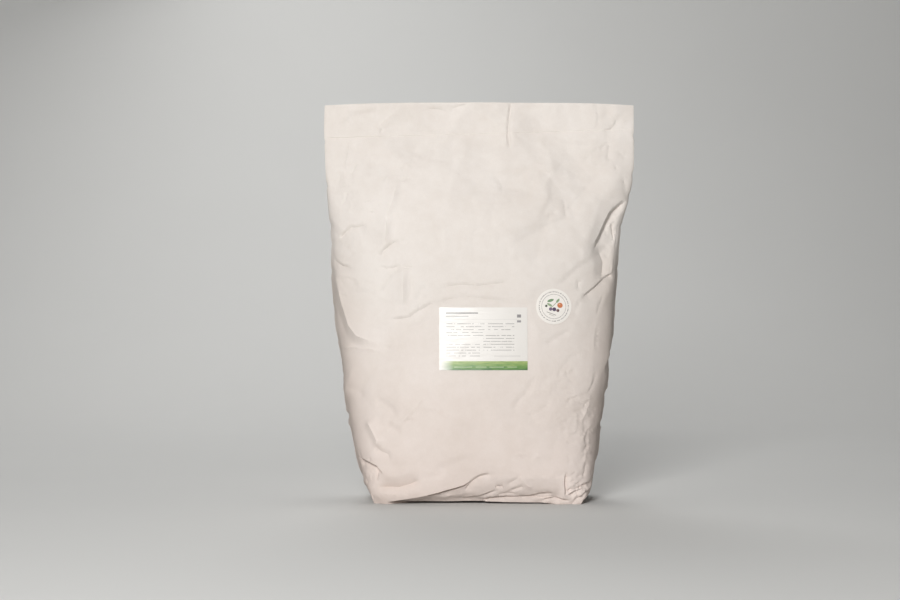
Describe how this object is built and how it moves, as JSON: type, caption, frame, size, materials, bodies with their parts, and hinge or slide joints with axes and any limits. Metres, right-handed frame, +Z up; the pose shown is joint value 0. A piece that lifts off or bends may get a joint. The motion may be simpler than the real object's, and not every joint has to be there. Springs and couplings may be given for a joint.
{
  "type": "sack of primate feed",
  "caption": "Filled paper feed sack standing on its block bottom, flat top folded over and glued, with a printed label and a round sticker on its front.",
  "frame": {"origin": "on the floor under the middle of the sack's bounding box", "axes": "+Z up, -Y out of the front with the label, +X to the right as seen from the front"},
  "size_m": [0.5376, 0.2054, 0.685],
  "materials": {
    "sack_paper": "matt bleached kraft",
    "label_paper": "semi-gloss coated",
    "sticker_paper": "semi-gloss coated"
  },
  "bodies": {
    "root": {"sack": "sack_paper", "product_label": "label_paper", "round_sticker": "sticker_paper"}
  },
  "joints": []
}
